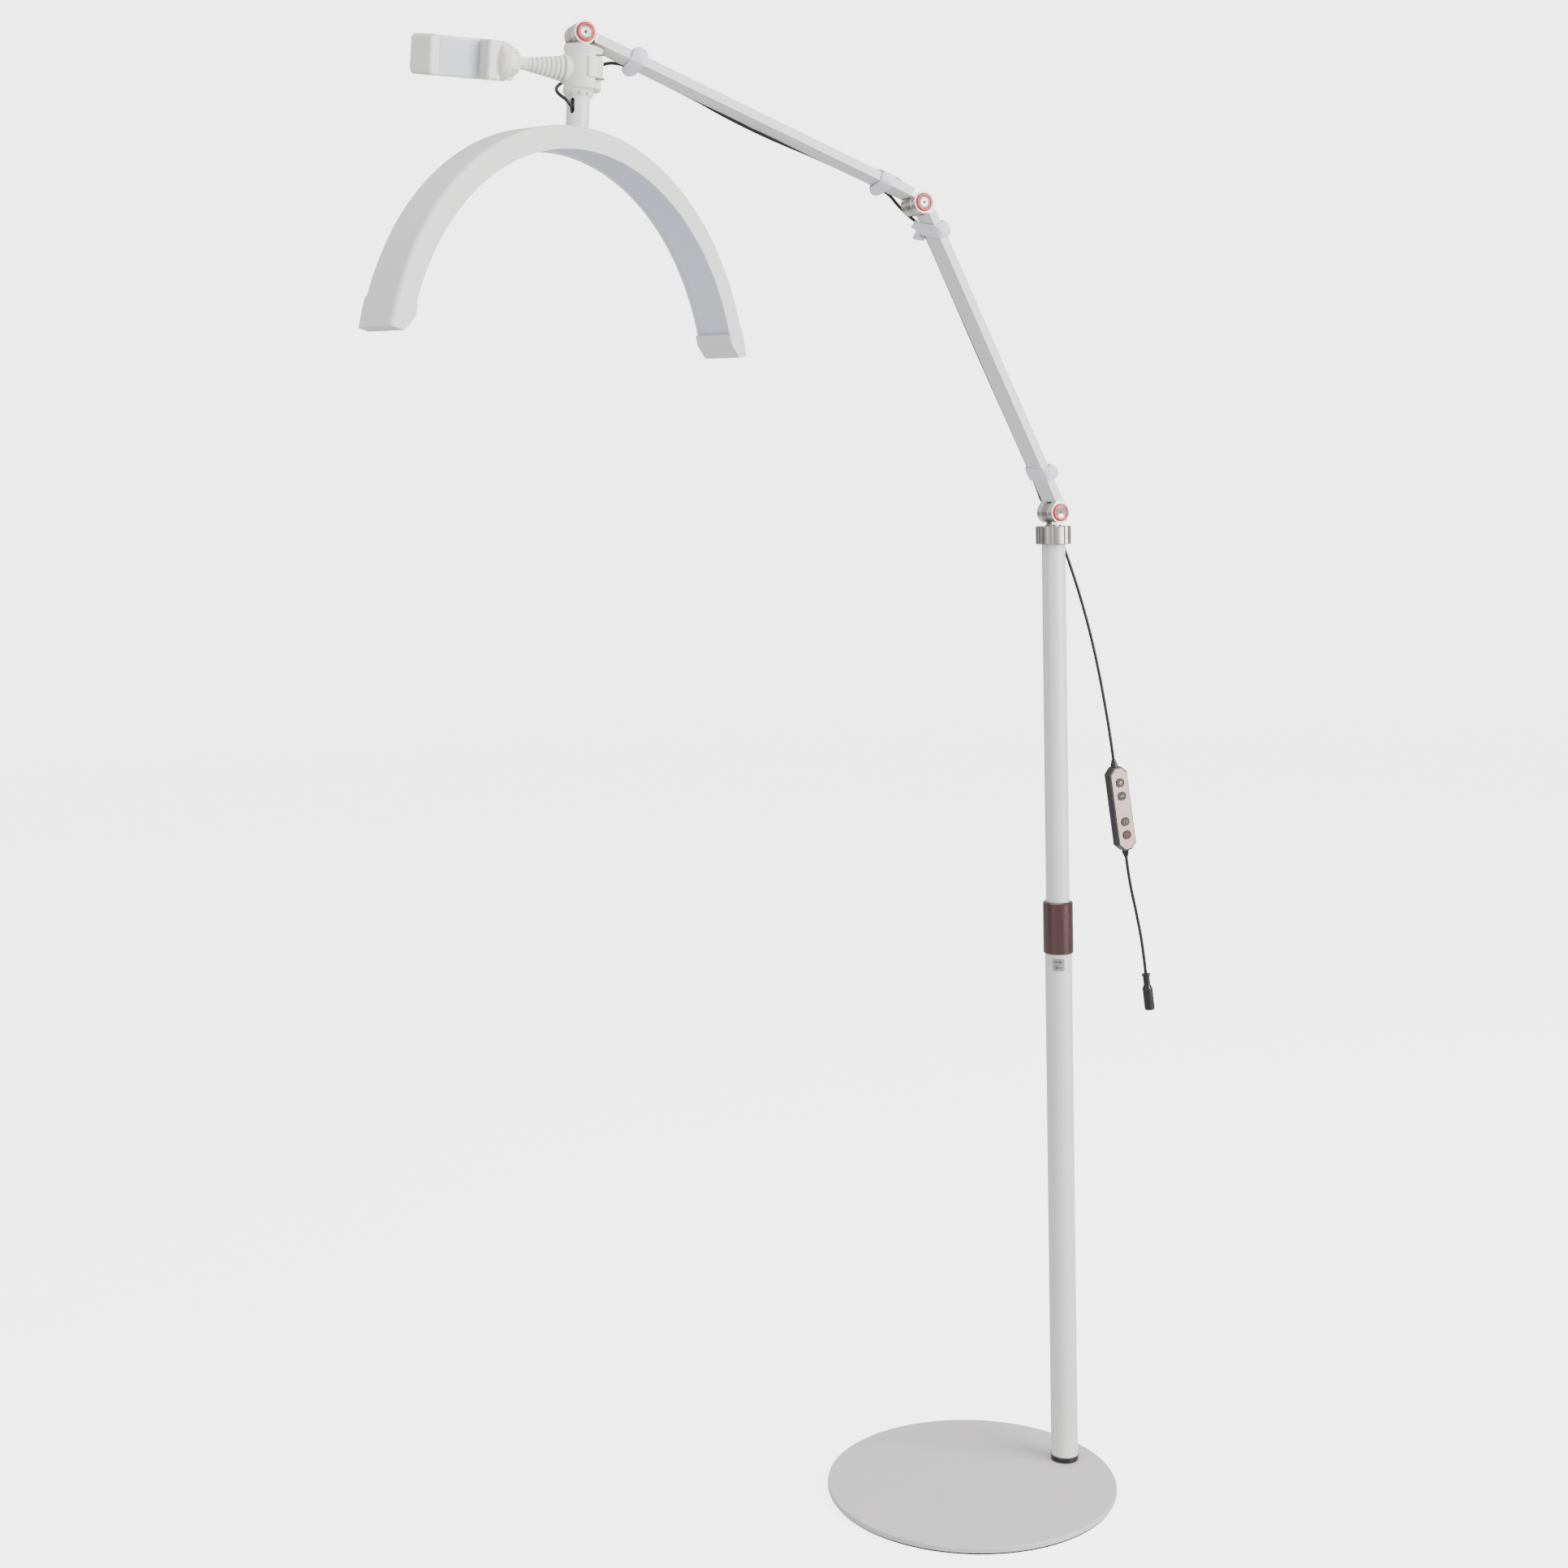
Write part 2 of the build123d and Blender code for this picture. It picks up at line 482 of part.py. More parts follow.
# ---- Phone holder ------------------------------------------------------------------------
def phone_sleeve():
    shift = Pos(SLEEVE_SHIFT[0], SLEEVE_SHIFT[1], 0)
    body = shift * rod(SLEEVE_RADIUS, -60, -10)
    body = fillet(body.edges().group_by(Axis.Z)[0], 2.0)
    rim = turned([(0, -20), (SLEEVE_RADIUS - 0.2, -20), (SLEEVE_RADIUS + 1.3, -16),
                  (SLEEVE_RADIUS + 1.3, -10), (0, -10)])
    crown = turned([(0, -66.5), (14.6, -66.5), (17.0, -61), (17.0, -59), (0, -59)])
    body += shift * rim + crown
    for k in range(10):
        body -= Rot(0, 0, 36 * k) * block((10, 20), (-1.4, 1.4), (-67, -63.2))
    body -= Pos(0, 0, -14.2) * Rot(0, 5, 0) * block((-60, 60), (-60, 60), (0, 40))
    body -= rod(STEM_RADIUS + RUNNING_GAP, -70, -5) + rod(13.4, -18.5, -5)
    boss = shift * Rot(0, 0, -104) * (Pos(0, 0, -36) * along_x(rod(8, 15, SLEEVE_RADIUS + 5)))
    boss &= shift * rod(SLEEVE_RADIUS + 0.3, -60, -10)
    body += boss - rod(17, -60, -10)
    pin_line = Rot(0, 0, -24.7) * along_x(rod(1.1, 8, 24.5))
    pins = [shift * (Pos(-5.4, -11.8, z) * pin_line) for z in (-24.0, -49.6)]
    for pin in pins:
        body -= pin
    write("phone_sleeve", place(HEAD, body))
    write("latch_pins", *(place(HEAD, pin) for pin in pins))

    shell = ring(SLEEVE_RADIUS + 2.2, SLEEVE_RADIUS + 0.45, -47.6, -26.0)
    fan = [(60 * cos(radians(a)), 60 * sin(radians(a))) for a in (-93, -65, -38)]
    wedge = Polyline((0, 0), *fan, close=True)
    shell &= Pos(0, 0, -50) * extrude(make_face(wedge), 30)
    barrel = Pos(*FLAP_HINGE, 0) * rod(1.1, -47.6, -26.0)
    write("latch_flap", place(HEAD, shift * (shell + barrel)))


def phone_neck():
    """Ribbed cone from the sleeve to the ball; X runs outwards and the ball is the origin."""
    base_x, tip_x = -66.0, -6.0

    def radius(x):
        return 6.0 + 7.6 * ((-x - 12) / 50) ** 1.15 if x < -12 else 6.0
    points = [(base_x - 4, 0), (base_x - 4, 15.3), (-63.6, 15.3), (-62.6, 14.6)]
    rib, groove, core = 3.2, 1.8, 0.74
    x = -62.6
    for k in range(8):
        points += [(x, radius(x) * core), (x + groove, radius(x + groove) * core),
                   (x + groove, radius(x + groove)), (x + groove + rib, radius(x + groove + rib))]
        x += groove + rib
    points += [(x, radius(x) * 0.95), (-12, 6.0), (tip_x, 6.0), (tip_x, 0)]
    neck = turned_x(points) + Sphere(BALL_RADIUS)
    cut = place(HEAD, Pos(SLEEVE_SHIFT[0], SLEEVE_SHIFT[1], 0) * rod(SLEEVE_RADIUS, -90, 0))
    write("phone_neck", place(NECK, neck) - cut)


def ball_joint():
    opening = -3.8
    keep = block((opening, 30), (-30, 30), (-30, 30))
    liner = (Sphere(11.0) - Sphere(BALL_RADIUS + 0.06)) & keep
    write("ball_liner", place(NECK, liner))
    nut = turned_x([(-10, 0), (-10, 13.6), (-3.5, 17.0), (4.3, 17.0), (4.3, 0)])
    for k in range(6):
        wing = block((-5.5, 4.3), (-2.6, 2.6), (10, 19.3))
        nut += Rot(60 * k + 12, 0, 0) * chamfer(wing.edges().group_by(Axis.Z)[-1], 1.0)
    nut -= turned_x([(-11, 0), (-11, 10.6), (-4, 15.1), (5, 15.1), (5, 0)])
    write("ball_nut", place(CLIP, nut))


def phone_clip():
    """Fixed jaw with its housing, and the sprung jaw that slides out along X."""
    half = CLIP_HALF_WIDTH
    dome = turned_x([(-3.8, 0), (-3.8, 15.0), (4.5, 15.0), (4.5, 20.6), (8.0, 20.6), (12.8, 18.6), (12.8, 0)])
    dome -= Sphere(11.05)
    housing = block((12.7, 97), (-13, 9), (-half, half))
    housing = fillet(housing.edges().filter_by(Axis.X), 2.5)
    housing -= block((34, 98), (-10, 5), (-17, 17))
    jaw = block((30, 38), (5, 28), (-half, half))
    jaw = fillet(jaw.edges().filter_by(Axis.X).group_by(Axis.Y)[-1], 3.0)
    write("clip_body", place(CLIP, dome + housing + jaw))
    pad = block((38, 39.6), (9.6, 27), (-18.5, 18.5))
    for k in range(12):
        pad -= block((39.1, 40), (9, 28), (-17.6 + 3.1 * k, -16.6 + 3.1 * k))
    write("clip_fixed_pad", place(CLIP, pad))

    end = block((97.3, 109.5), (-13, 28), (-half, half))
    end = fillet(end.edges().filter_by(Axis.Y).group_by(Axis.X)[-1], 6.0)
    end = fillet(end.edges().filter_by(Axis.Z).group_by(Axis.X)[-1], 2.5)
    end = fillet(end.edges().filter_by(Axis.Z).group_by(Axis.X)[0].sort_by(Axis.Y)[-1], 2.0)
    sled = block((45, 97.5), (0.5, 4.6), (-16.4, 16.4)) + block((62, 65), (-9, 2), (-5, 5))
    write("clip_jaw", place(CLIP, end + sled))
    sliding_pad = block((95.7, 97.3), (9.8, 27), (-18.5, 18.5))
    for k in range(12):
        sliding_pad -= block((95, 96.2), (9, 28), (-17.6 + 3.1 * k, -16.6 + 3.1 * k))
    write("clip_jaw_pad", place(CLIP, sliding_pad))
    coils, pitch = 12, 2.25
    outline = [(0, 2.0)]
    for k in range(coils):
        outline += [(pitch * k, 2.5), (pitch * (k + 0.5), 3.0)]
    outline += [(pitch * coils, 2.5), (pitch * coils, 2.0)]
    spring = Pos(34.6, -5.2, 0) * turned_x(outline)
    write("clip_spring", place(CLIP, spring))


# ---- Free lead with its controller and socket --------------------------------------------
def octagon(width, length, corner):
    return chamfer(Rectangle(width, length).vertices(), corner)


def controller():
    half = CONTROL_LENGTH / 2
    outer = prism(octagon(CONTROL_WIDTH, CONTROL_LENGTH, 7.5), -CONTROL_DEPTH / 2, CONTROL_DEPTH / 2)
    outer = chamfer(outer.edges().group_by(Axis.Y)[-1], 2.0)
    outer -= prism(octagon(20, 92, 6.5), -8, 5)
    write("controller_body", place(CONTROL, outer))
    face = prism(octagon(CONTROL_WIDTH - 3, CONTROL_LENGTH - 4, 6.8), -8.0, -CONTROL_DEPTH / 2)
    for z in BUTTON_PLACES.values():
        face -= Pos(0, 0, z) * prism(octagon(11.6, 10.6, 3.0), -10, -5)
    write("controller_face", place(CONTROL, face))
    board = block((-9, 9), (-1.0, 0.6), (-39.5, 39.5))
    posts = [block((-3, 3), (0.6, 5.0), (z - 2, z + 2)) for z in (-36, 36)]
    write("controller_board", place(CONTROL, board + posts[0] + posts[1]))
    for name, z in BUTTON_PLACES.items():
        cap = prism(octagon(11.0, 10.0, 2.8), -9.2, -2.4) + prism(octagon(13, 12, 3.0), -6.6, -5.6)
        write(name, place(CONTROL, Pos(0, 0, z) * cap))
    sleeve = turned([(0, half), (4.6, half), (4.2, half + 3), (2.7, half + RELIEF_LENGTH), (0, half + RELIEF_LENGTH)])
    write("controller_reliefs", place(CONTROL, sleeve), place(CONTROL, mirror(sleeve, Plane.XY)))


def leads():
    reach = CONTROL_LENGTH / 2 + RELIEF_LENGTH
    top = point_in(CONTROL, (0, 0, reach))
    bottom = point_in(CONTROL, (0, 0, -reach))
    upper = [LEAD_START] + [Vector(*p) for p in LEAD_UPPER] + [point_in(CONTROL, (0, 0, reach + 24)), top]
    write("lead_upper", route(upper, CABLE_RADIUS, "lead to the controller"))
    lower = [bottom, point_in(CONTROL, (0, 0, -reach - 20))] + [Vector(*p) for p in LEAD_LOWER]
    write("lead_lower", route(lower, CABLE_RADIUS, "lead to the socket"))
    down = (lower[-1] - lower[-2]).normalized()
    frame = Plane(origin=lower[-1], z_dir=-down)
    profile = [(0, 0), (5.2, 0), (5.2, -2.4), (4.2, -3.2)]
    for k in range(3):
        z = -3.2 - 3.4 * k
        profile += [(4.2, z - 2.2), (3.6, z - 2.2), (3.6, z - 3.4), (4.2, z - 3.4)]
    profile += [(4.4, -14.2), (6.2, -18.5), (6.2, -43.5), (5.6, -44.5), (0, -44.5)]
    body = turned(profile) - rod(2.8, -45, -35)
    write("lead_socket", place(frame, body))
    return Plane(origin=point_in(frame, (0, 0, -44.5)), x_dir=frame.x_dir, z_dir=frame.z_dir)


stand()
mast()
swivel_post()
arms()
crossing_cables()
head_fork()
arch()
stem()
phone_sleeve()
phone_neck()
ball_joint()
phone_clip()
controller()
SOCKET_END = leads()

for name, frame in (("lower arm", LOWER_ARM), ("upper arm", UPPER_LINE), ("head", HEAD), ("arch", ARCH),
                    ("clip", CLIP), ("neck", NECK), ("controller", CONTROL), ("socket", SOCKET_END)):
    print(name, "origin", [round(v, 3) for v in frame.origin], "x", [round(v, 5) for v in frame.x_dir],
          "z", [round(v, 5) for v in frame.z_dir])
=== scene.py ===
"""Visual model of the half-moon salon lamp: finishes, cables, ties and fine detail on the CAD frame."""
import json
from math import cos, pi, radians, sin, sqrt

import bmesh
import bpy
from mathutils import Matrix, Vector


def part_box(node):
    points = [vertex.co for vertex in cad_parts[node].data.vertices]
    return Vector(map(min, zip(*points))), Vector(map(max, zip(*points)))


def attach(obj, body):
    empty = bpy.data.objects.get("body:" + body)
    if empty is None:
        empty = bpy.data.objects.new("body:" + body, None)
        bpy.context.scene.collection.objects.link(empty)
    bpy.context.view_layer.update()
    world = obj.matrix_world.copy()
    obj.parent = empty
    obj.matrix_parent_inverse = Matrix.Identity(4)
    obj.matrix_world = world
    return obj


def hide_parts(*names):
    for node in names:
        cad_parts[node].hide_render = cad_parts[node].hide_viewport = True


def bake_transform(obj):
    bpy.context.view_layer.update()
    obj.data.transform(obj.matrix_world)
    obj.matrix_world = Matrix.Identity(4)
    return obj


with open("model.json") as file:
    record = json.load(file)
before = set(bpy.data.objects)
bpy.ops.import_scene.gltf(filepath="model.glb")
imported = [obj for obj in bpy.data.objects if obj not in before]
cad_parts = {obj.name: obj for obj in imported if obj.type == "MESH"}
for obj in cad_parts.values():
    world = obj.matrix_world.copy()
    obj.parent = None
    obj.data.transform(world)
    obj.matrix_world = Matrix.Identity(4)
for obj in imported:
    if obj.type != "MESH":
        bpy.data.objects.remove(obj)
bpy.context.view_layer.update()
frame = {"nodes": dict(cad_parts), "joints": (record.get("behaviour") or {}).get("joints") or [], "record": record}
MM = 0.001

# ---- Driving dimensions, in millimetres --------------------------------------------------
# Each arm's length between its pivots, and how far the bars lie above the pivots' line at the elbow.
LOWER_ARM_LENGTH = 401.0
UPPER_ARM_LENGTH = 441.0
BAR_OFFSET = 6.0
# A knuckle's flat face, from the middle plane of the arm.
CHEEK_FACE = 16.5

# The supply cable lies on the far side of the bar, a little below the bar's middle line.
CABLE_DIAMETER = 3.8
CABLE_SIDE = 17.2
CABLE_INSET = 2.4
# The stretch along an arm starts this far past one pivot and stops this far short of the next.
TIED_FROM = 62.0
LOWER_TIED_STOP = 52.0
UPPER_TIED_STOP = 80.0

# Ties: their places along each arm, their size, the half sizes within which they lie flat on the
# bar, and how strongly their edges curl where they stand off it.
LOWER_TIES = (50.0, 366.0)
UPPER_TIES = (50.0, 374.0)
TIE_WIDTH = 16.5
TIE_THICKNESS = 1.1
TIE_SNUG = Vector((7.2, 16.2, 0))
TIE_CROWN = 0.85


# ---- Frames taken from the joints --------------------------------------------------------
joint = {j["name"]: j for j in frame["joints"]}


def pivot(name):
    return Vector(joint[name]["pos_m"])


def along(name):
    return Vector(joint[name]["axis"])


def frame_at(origin, z_dir, y_hint=(0, 1, 0)):
    """Local frame with Z along z_dir and Y as near as it can be to the hint."""
    z = Vector(z_dir).normalized()
    x = Vector(y_hint).cross(z).normalized()
    y = z.cross(x)
    return Matrix.Translation(origin) @ Matrix((x, y, z)).transposed().to_4x4()


def at(place, point):
    """A point given in millimetres of a local frame, as a world point in metres."""
    return place @ (Vector(point) * MM)


SHOULDER = pivot("shoulder_fold")
ELBOW = pivot("elbow_fold")
WRIST = pivot("wrist_fold")
LOWER_ARM = frame_at(SHOULDER, ELBOW - SHOULDER)
UPPER_LINE = frame_at(ELBOW, WRIST - ELBOW)
bar_start = at(UPPER_LINE, (BAR_OFFSET, 0, 0))
UPPER_BAR = frame_at(bar_start, WRIST - bar_start)
HEAD = frame_at(WRIST, along("lamp_turn"))
BALL = pivot("liner_roll")
CLIP = frame_at(BALL, along("clip_tilt"), along("clip_tilt").cross(along("jaw_slide")))


def middle(node):
    low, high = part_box(node)
    return (low + high) / 2


CONTROL = frame_at(middle("controller_board"), middle("plus_button") - middle("power_button"))


# ---- Camera and light --------------------------------------------------------------------
CAMERA_PLACE = Vector((-1.2962, -2.2413, 1.1826))
CAMERA_YAW, CAMERA_PITCH, CAMERA_ROLL = 24.74, -1.93, -0.96
SENSOR_WIDTH = 36
LENS = 50.71
LENS_SHIFT = (0.0191, -0.1394)


def camera():
    """Camera at chest height; the lens shift frames the lamp with its uprights nearly parallel."""
    yaw, pitch, roll = radians(CAMERA_YAW), radians(CAMERA_PITCH), radians(CAMERA_ROLL)
    level = Vector((sin(yaw), cos(yaw), 0))
    right = Vector((cos(yaw), -sin(yaw), 0))
    up = Vector((0, 0, 1))
    forward = level * cos(pitch) + up * sin(pitch)
    upright = up * cos(pitch) - level * sin(pitch)
    rolled_right = right * cos(roll) + upright * sin(roll)
    rolled_up = upright * cos(roll) - right * sin(roll)
    data = bpy.data.cameras.new("camera")
    data.sensor_width = SENSOR_WIDTH
    data.lens = LENS
    data.shift_x, data.shift_y = LENS_SHIFT
    obj = bpy.data.objects.new("camera", data)
    turn = Matrix((rolled_right, rolled_up, -forward)).transposed().to_4x4()
    obj.matrix_world = Matrix.Translation(CAMERA_PLACE) @ turn
    bpy.context.scene.collection.objects.link(obj)
    bpy.context.scene.camera = obj


def area_light(name, place, target, size, power):
    data = bpy.data.lights.new(name, "AREA")
    data.shape = "RECTANGLE"
    data.size, data.size_y = size
    data.energy = power
    obj = bpy.data.objects.new(name, data)
    direction = Vector(target) - Vector(place)
    obj.matrix_world = Matrix.Translation(place) @ direction.to_track_quat("-Z", "Y").to_matrix().to_4x4()
    bpy.context.scene.collection.objects.link(obj)


def studio():
    """A large soft key from the right, a weak fill from the left, a light above and a pale world."""
    aim = (-0.15, 0, 0.95)
    area_light("key", place=(2.3, -3.3, 2.1), target=aim, size=(2.8, 3.6), power=330)
    area_light("fill", place=(-3.4, -1.6, 1.6), target=aim, size=(1.6, 2.4), power=26)
    area_light("top", place=(-0.2, 0.2, 3.9), target=aim, size=(2.6, 2.6), power=40)
    world = bpy.data.worlds.new("studio")
    world.use_nodes = True
    background = world.node_tree.nodes["Background"]
    background.inputs["Color"].default_value = (0.93, 0.94, 0.96, 1)
    background.inputs["Strength"].default_value = 0.95
    bpy.context.scene.world = world


# ---- Mesh helpers ------------------------------------------------------------------------
def link(name, data):
    obj = bpy.data.objects.new(name, data)
    bpy.context.scene.collection.objects.link(obj)
    return obj


def mesh_piece(name, points, faces, smooth=True):
    """A mesh object with its doubled points joined and its faces turned outwards."""
    mesh = bpy.data.meshes.new(name)
    mesh.from_pydata([tuple(p) for p in points], [], faces)
    shape = bmesh.new()
    shape.from_mesh(mesh)
    bmesh.ops.remove_doubles(shape, verts=shape.verts, dist=1e-6)
    bmesh.ops.recalc_face_normals(shape, faces=shape.faces)
    shape.to_mesh(mesh)
    shape.free()
    obj = link(name, mesh)
    if smooth:
        mesh.shade_smooth()
    return obj


def sharpen(obj, angle=32):
    """Smooth shading that breaks at edges sharper than the angle."""
    obj.data.shade_smooth()
    obj.data.set_sharp_from_angle(angle=radians(angle))


def bevel(obj, width, segments=3):
    modifier = obj.modifiers.new("edges", "BEVEL")
    modifier.width = width * MM
    modifier.segments = segments
    modifier.limit_method = "ANGLE"
    modifier.angle_limit = radians(40)
    return obj


def grid_faces(rows, columns, close_rows=False, close_columns=False):
    """Quads over a grid of points stored row by row."""
    faces = []
    for i in range(rows if close_rows else rows - 1):
        for j in range(columns if close_columns else columns - 1):
            a, b = i * columns + j, i * columns + (j + 1) % columns
            c = ((i + 1) % rows) * columns
            faces.append((a, b, c + (j + 1) % columns, c + j))
    return faces


def lathe(name, profile, place, steps=96):
    """A closed (radius, height) outline turned about Z of the local frame."""
    points = []
    for k in range(steps):
        turn = 2 * pi * k / steps
        points += [at(place, (r * cos(turn), r * sin(turn), z)) for r, z in profile]
    obj = mesh_piece(name, points, grid_faces(steps, len(profile), True, True))
    sharpen(obj)
    return obj


def slabs(name, outlines, low, high, place):
    """Flat (x, z) outlines made solid between two Y values of the local frame, as one piece."""
    points, faces = [], []
    for outline in outlines:
        first, count = len(points), len(outline)
        points += [at(place, (x, low, z)) for x, z in outline]
        points += [at(place, (x, high, z)) for x, z in outline]
        faces.append(tuple(range(first, first + count)))
        faces.append(tuple(range(first + 2 * count - 1, first + count - 1, -1)))
        for k in range(count):
            here, after = first + k, first + (k + 1) % count
            faces.append((here, here + count, after + count, after))
    return mesh_piece(name, points, faces, smooth=False)


def rounded(width, height, radius, steps=6):
    """Outline of a rectangle with round corners, centred on the origin."""
    outline = []
    for quarter in range(4):
        middle_turn = quarter * pi / 2
        sx = (1, -1, -1, 1)[quarter]
        sz = (1, 1, -1, -1)[quarter]
        centre = Vector((sx * (width / 2 - radius), sz * (height / 2 - radius)))
        for k in range(steps + 1):
            turn = middle_turn + pi / 2 * k / steps
            outline.append((centre.x + radius * cos(turn), centre.y + radius * sin(turn)))
    return outline


# ---- Finishes ----------------------------------------------------------------------------
def linear(text):
    """A hex colour in linear light."""
    channels = [int(text[k:k + 2], 16) / 255 for k in (1, 3, 5)]
    return [c / 12.92 if c < 0.04045 else ((c + 0.055) / 1.055) ** 2.4 for c in channels]


finishes = {}


def finish(name, colour, rough, metal=0.0, mottle=(60, 0.03), grain=(1400, 0.04), stretch=(1, 1, 1),
           rough_range=0.06, coat=0.0, sheen=0.0, subsurface=0.0, glow=0.0):
    """Principled finish with mottled colour, uneven roughness and a fine grain.

    mottle is (scale, amount) of the colour variation and grain is (scale, height) of the relief; the
    scales are per metre. stretch scales the grain's coordinates: a small value along an axis draws the
    grain out along it, as brush lines.
    """
    material = bpy.data.materials.new(name)
    material.use_nodes = True
    nodes, links = material.node_tree.nodes, material.node_tree.links
    shader = nodes["Principled BSDF"]
    shader.inputs["Metallic"].default_value = metal
    shader.inputs["Coat Weight"].default_value = coat
    shader.inputs["Coat Roughness"].default_value = 0.12
    shader.inputs["Sheen Weight"].default_value = sheen
    shader.inputs["Sheen Roughness"].default_value = 0.4
    shader.inputs["Subsurface Weight"].default_value = subsurface
    shader.inputs["Subsurface Radius"].default_value = (0.004, 0.004, 0.005)
    shader.inputs["Emission Color"].default_value = (1, 1, 1, 1)
    shader.inputs["Emission Strength"].default_value = glow

    place = nodes.new("ShaderNodeTexCoord")
    squeeze = nodes.new("ShaderNodeMapping")
    squeeze.inputs["Scale"].default_value = stretch
    links.new(place.outputs["Object"], squeeze.inputs["Vector"])

    cloud = nodes.new("ShaderNodeTexNoise")
    cloud.inputs["Scale"].default_value = mottle[0]
    cloud.inputs["Detail"].default_value = 4
    links.new(place.outputs["Object"], cloud.inputs["Vector"])
    base = linear(colour)
    ramp = nodes.new("ShaderNodeValToRGB")
    ramp.color_ramp.elements[0].position = 0.3
    ramp.color_ramp.elements[1].position = 0.7
    for element, factor in zip(ramp.color_ramp.elements, (1 - mottle[1], 1 + mottle[1])):
        element.color = [min(1, c * factor) for c in base] + [1]
    links.new(cloud.outputs["Fac"], ramp.inputs["Fac"])
    links.new(ramp.outputs["Color"], shader.inputs["Base Color"])

    speck = nodes.new("ShaderNodeTexNoise")
    speck.inputs["Scale"].default_value = grain[0]
    speck.inputs["Detail"].default_value = 2
    links.new(squeeze.outputs["Vector"], speck.inputs["Vector"])
    spread = nodes.new("ShaderNodeMapRange")
    spread.inputs["To Min"].default_value = max(0.02, rough - rough_range)
    spread.inputs["To Max"].default_value = min(1, rough + rough_range)
    links.new(speck.outputs["Fac"], spread.inputs["Value"])
    links.new(spread.outputs["Result"], shader.inputs["Roughness"])

    relief = nodes.new("ShaderNodeBump")
    relief.inputs["Strength"].default_value = 0.5
    relief.inputs["Distance"].default_value = grain[1] * MM
    links.new(speck.outputs["Fac"], relief.inputs["Height"])
    links.new(relief.outputs["Normal"], shader.inputs["Normal"])
    finishes[name] = material
    return material


def make_finishes():
    finish("foot_foam", "#1d1d1f", 0.9, grain=(900, 0.3))
    finish("plate_paint", "#d2cdcc", 0.5, mottle=(25, 0.012), grain=(1800, 0.12))
    finish("pole_paint", "#e0e2de", 0.33, mottle=(18, 0.008), grain=(1500, 0.03), coat=0.15)
    finish("arm_paint", "#e2e2df", 0.38, mottle=(30, 0.01), grain=(1600, 0.06), coat=0.1)
    finish("white_paint", "#e6e7e4", 0.36, mottle=(40, 0.01), grain=(1500, 0.05), coat=0.1)
    finish("white_plastic", "#e4e5e1", 0.46, mottle=(30, 0.012), grain=(2200, 0.06))
    finish("holder_plastic", "#efeee7", 0.42, mottle=(60, 0.015), grain=(2400, 0.05))
    # Near-white, barely metallic finish for the knuckles' flat faces: a painted reflection of the white studio on
    # polished metal.
    finish("cheek_painted_reflection", "#f2f1f0", 0.3, metal=0.1, mottle=(50, 0.01), grain=(1500, 0.02), coat=0.1)
    finish("knuckle_white", "#d9d2cb", 0.26, metal=0.9, mottle=(50, 0.01), grain=(1500, 0.02), coat=0.6)
    finish("knuckle_nickel", "#cbc1b7", 0.28, metal=1.0, mottle=(90, 0.04), grain=(1800, 0.05),
           stretch=(1, 0.05, 1))
    finish("knob_nickel", "#aca7a4", 0.33, metal=1.0, mottle=(120, 0.04), grain=(2600, 0.1),
           stretch=(1, 1, 0.03))
    finish("screw_steel", "#b5b5b8", 0.28, metal=1.0, mottle=(90, 0.03))
    finish("collar_rose", "#64494a", 0.24, metal=0.95, mottle=(900, 0.16), grain=(2400, 0.08), coat=0.3)
    finish("collar_black", "#161518", 0.3, grain=(1600, 0.05), coat=0.2)
    finish("grey_plastic", "#8d8d92", 0.5)
    finish("strap_clear", "#ebe9f6", 0.6, mottle=(160, 0.03), grain=(1500, 0.35), sheen=0.5,
           subsurface=0.25)
    finish("diffuser_opal", "#dcdde9", 0.55, mottle=(14, 0.015), grain=(1600, 0.04), subsurface=0.15)
    finish("led_board", "#f2efe4", 0.5)
    finish("grip_rubber", "#dddcda", 0.6, mottle=(120, 0.05), grain=(1500, 0.2))
    finish("control_plastic", "#19181a", 0.34, mottle=(60, 0.1), grain=(2200, 0.12), rough_range=0.1)
    finish("control_face", "#c9a7a1", 0.42, metal=0.25, mottle=(200, 0.04), grain=(3000, 0.06),
           stretch=(1, 1, 0.04))
    finish("button_plastic", "#1c1a1c", 0.3, grain=(2600, 0.1), rough_range=0.1)
    finish("circuit_board", "#1f5a3a", 0.5, mottle=(600, 0.2))
    finish("cable_black", "#121113", 0.42, mottle=(300, 0.1), grain=(2600, 0.1), rough_range=0.1)
    finish("ring_red", "#b3101f", 0.36, mottle=(300, 0.05), grain=(2000, 0.03), coat=0.5)
    finish("mark_yellow", "#e7dc3c", 0.5)
    finish("mark_dim", "#8b8a54", 0.5)
    finish("mark_red", "#a3202f", 0.45)
    finish("label_grey", "#8f9190", 0.5, mottle=(500, 0.06))
    finish("label_mark", "#5d5f60", 0.5)
    finish("flag_black", "#2c2c2e", 0.9)
    finish("studio_floor", "#f4f4f4", 0.7, mottle=(4, 0.004), grain=(300, 0.1), glow=3.2)


def dress(obj, name):
    obj.data.materials.clear()
    obj.data.materials.append(finishes[name])
    return obj


def dress_cad():
    """Every CAD node takes the finish of its own material slot.

    The knuckles' flat faces, which look along Y, get a near-white finish that paints in the white studio's
    reflection on their polished metal; their rims are bright metal.
    """
    slots = {entry["node"]: entry["material_slot"] for entry in frame["record"]["subparts"]}
    for name, obj in frame["nodes"].items():
        dress(obj, slots[name])
        if slots[name] == "knuckle_white":
            obj.data.materials.append(finishes["cheek_painted_reflection"])
            # Faces looking along Y take the painted reflection finish; the others keep the bright metal.
            for polygon in obj.data.polygons:
                polygon.material_index = int(abs(polygon.normal.y) > 0.97)
        obj.data.shade_smooth()
        obj.data.set_sharp_from_angle(angle=radians(28))


